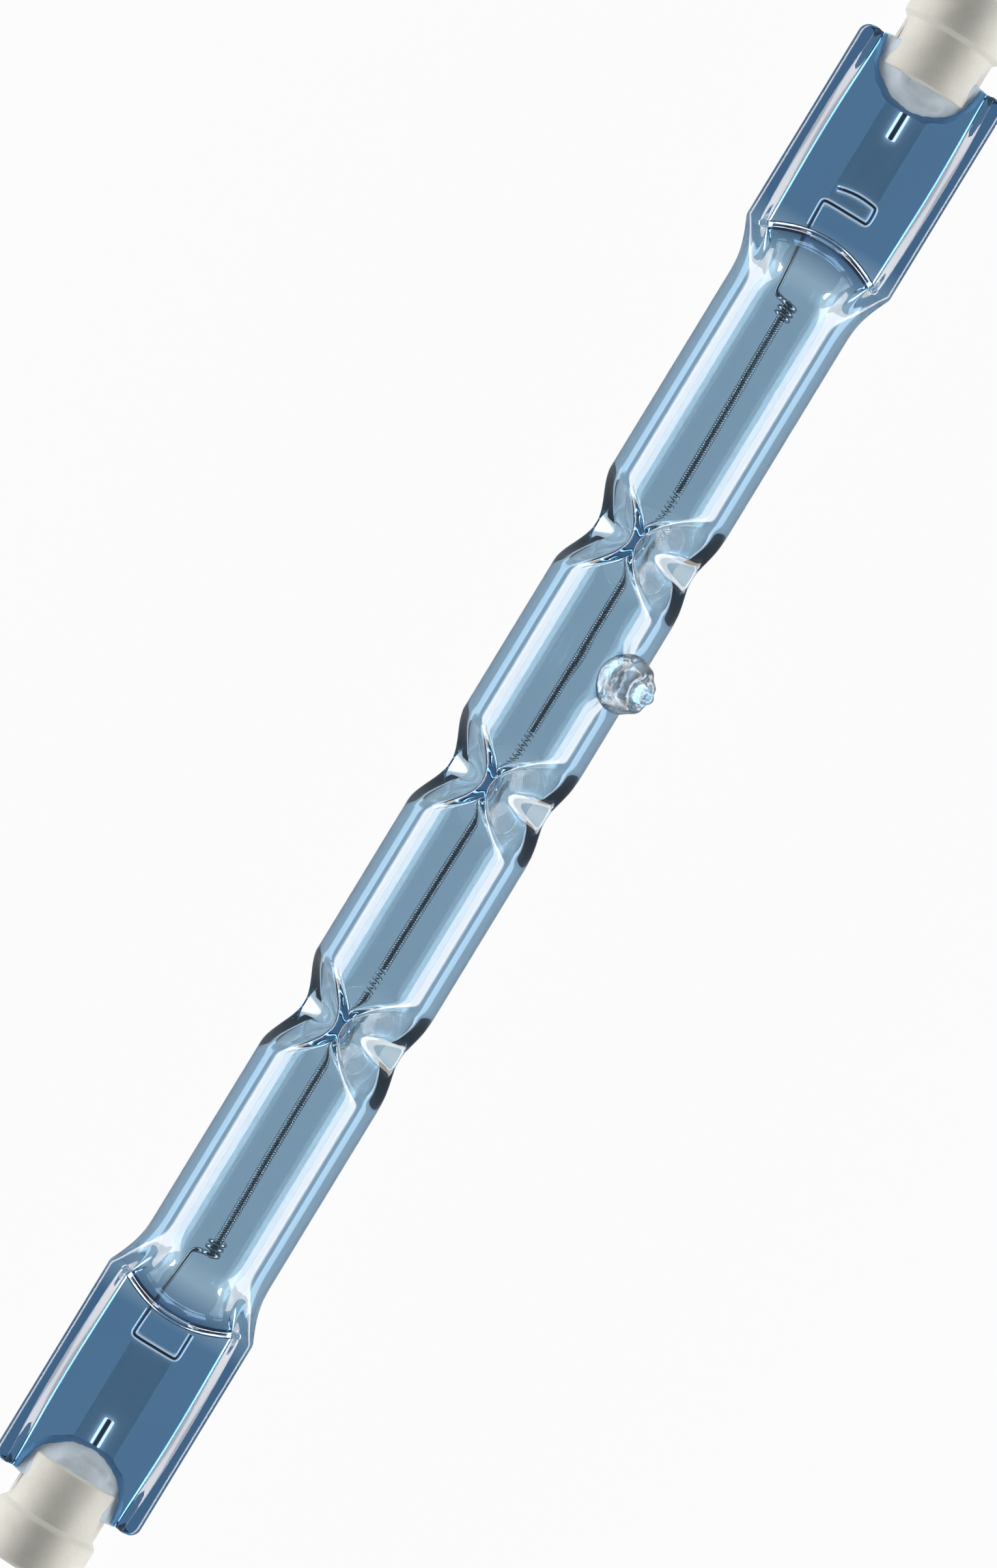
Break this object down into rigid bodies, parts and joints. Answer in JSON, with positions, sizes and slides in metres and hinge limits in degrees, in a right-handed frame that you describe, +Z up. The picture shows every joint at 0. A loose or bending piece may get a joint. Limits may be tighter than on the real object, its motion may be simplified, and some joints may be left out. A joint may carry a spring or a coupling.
{
  "type": "linear halogen bulb",
  "caption": "Double-ended halogen lamp: a dimpled quartz tube with pinched ends round a tungsten coil, and a slotted ceramic cap with a recessed contact at each end.",
  "frame": {"origin": "middle of the lamp, on the axis of the coil", "axes": "+X along the lamp towards the right cap, +Z up and square to the flat faces of the pinches, +Y across the pinches, away from the exhaust tip"},
  "size_m": [0.1176, 0.0112, 0.0093],
  "materials": {
    "quartz": "clear, with a pale blue cast",
    "tungsten": "dark, with bright edges",
    "molybdenum": "dull grey",
    "cap_ceramic": "matte, off-white",
    "cement": "rough, pale grey",
    "nickel": "satin"
  },
  "bodies": {
    "root": {"quartz_envelope": "quartz", "filament_coil": "tungsten", "left_inner_lead": "tungsten", "right_inner_lead": "tungsten", "left_foil": "molybdenum", "right_foil": "molybdenum", "left_outer_lead": "molybdenum", "right_outer_lead": "molybdenum", "left_cap": "cap_ceramic", "right_cap": "cap_ceramic", "left_cement": "cement", "right_cement": "cement", "left_contact": "nickel", "right_contact": "nickel"}
  },
  "joints": []
}
